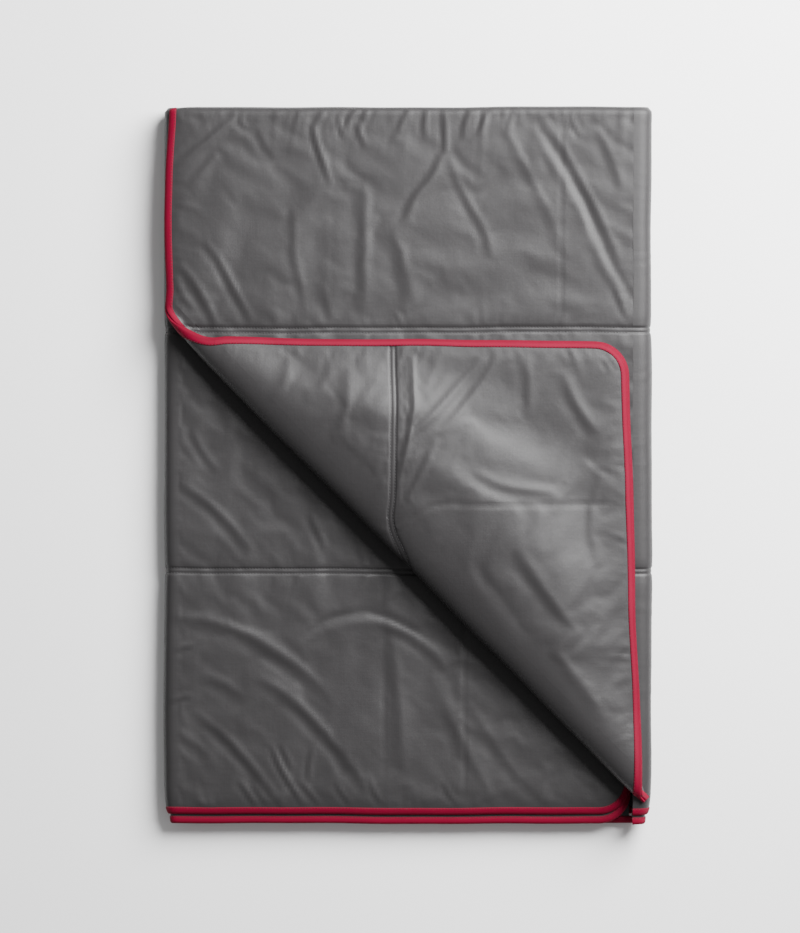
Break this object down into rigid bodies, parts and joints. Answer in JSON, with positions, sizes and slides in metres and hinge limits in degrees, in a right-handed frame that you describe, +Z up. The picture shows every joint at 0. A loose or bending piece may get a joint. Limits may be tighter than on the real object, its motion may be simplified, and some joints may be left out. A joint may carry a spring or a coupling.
{
  "type": "camp quilt",
  "caption": "Padded camp quilt with a bound edge, folded in half and then in thirds, with one corner of the top third turned back.",
  "frame": {"origin": "under the middle of the folded quilt's bounding box, on the surface that it lies on", "axes": "+Z up, +Y towards the half fold, +X towards the fold that carries the top third"},
  "size_m": [0.6806, 0.997, 0.0897],
  "materials": {
    "face_fabric": "satin",
    "lining_fabric": "satin",
    "batting": "matte",
    "thread": "matte",
    "binding_tape": "matte"
  },
  "bodies": {
    "base": {"base_half_fold_batting": "batting", "base_half_fold_shell": "face_fabric", "base_inner_batting_bottom": "batting", "base_inner_batting_middle": "batting", "base_inner_batting_top": "batting", "base_inner_bottom_binding": "binding_tape", "base_inner_face": "face_fabric", "base_inner_lining": "lining_fabric", "base_inner_seam_lower": "thread", "base_inner_seam_upper": "thread", "base_inner_side_binding": "binding_tape", "base_outer_batting_bottom": "batting", "base_outer_batting_middle": "batting", "base_outer_batting_top": "batting", "base_outer_bottom_binding": "binding_tape", "base_outer_face": "face_fabric", "base_outer_lining": "lining_fabric", "base_outer_seam_lower": "thread", "base_outer_seam_upper": "thread", "base_outer_side_binding": "binding_tape", "right_fold_half_fold": "face_fabric", "right_fold_inner_binding": "binding_tape", "right_fold_inner_sheet": "face_fabric", "right_fold_outer_binding": "binding_tape", "right_fold_outer_sheet": "face_fabric"},
    "top_third": {"corner_roll_inner_binding": "binding_tape", "corner_roll_inner_sheet": "face_fabric", "corner_roll_outer_binding": "binding_tape", "corner_roll_outer_sheet": "face_fabric", "top_half_fold_batting": "batting", "top_half_fold_shell": "face_fabric", "top_inner_batting_bottom": "batting", "top_inner_batting_middle": "batting", "top_inner_batting_top": "batting", "top_inner_face": "face_fabric", "top_inner_lining": "lining_fabric", "top_inner_seam_lower": "thread", "top_inner_seam_upper": "thread", "top_inner_side_binding": "binding_tape", "top_outer_batting_bottom": "batting", "top_outer_batting_middle": "batting", "top_outer_batting_top": "batting", "top_outer_face": "face_fabric", "top_outer_lining": "lining_fabric", "top_outer_seam_lower": "thread", "top_outer_seam_upper": "thread", "top_outer_side_binding": "binding_tape"},
    "corner_flap": {"flap_inner_batting_bottom": "batting", "flap_inner_batting_middle": "batting", "flap_inner_binding": "binding_tape", "flap_inner_face": "face_fabric", "flap_inner_lining": "lining_fabric", "flap_inner_seam": "thread", "flap_outer_batting_bottom": "batting", "flap_outer_batting_middle": "batting", "flap_outer_binding": "binding_tape", "flap_outer_face": "face_fabric", "flap_outer_lining": "lining_fabric", "flap_outer_seam": "thread"}
  },
  "joints": [
    {"name": "top_third_fold", "type": "hinge", "parent": "base", "child": "top_third", "pos_m": [0.325, 0, 0.027], "axis": [0, 1, 0], "range_deg": [0, 179], "deforming": ["right_fold_half_fold", "right_fold_inner_binding", "right_fold_inner_sheet", "right_fold_outer_binding", "right_fold_outer_sheet"]},
    {"name": "corner_flap_fold", "type": "hinge", "parent": "top_third", "child": "corner_flap", "pos_m": [-0.334, 0.1955, 0.059], "axis": [0.7022, -0.712, 0], "range_deg": [0, 179], "deforming": ["corner_roll_inner_binding", "corner_roll_inner_sheet", "corner_roll_outer_binding", "corner_roll_outer_sheet"]}
  ]
}
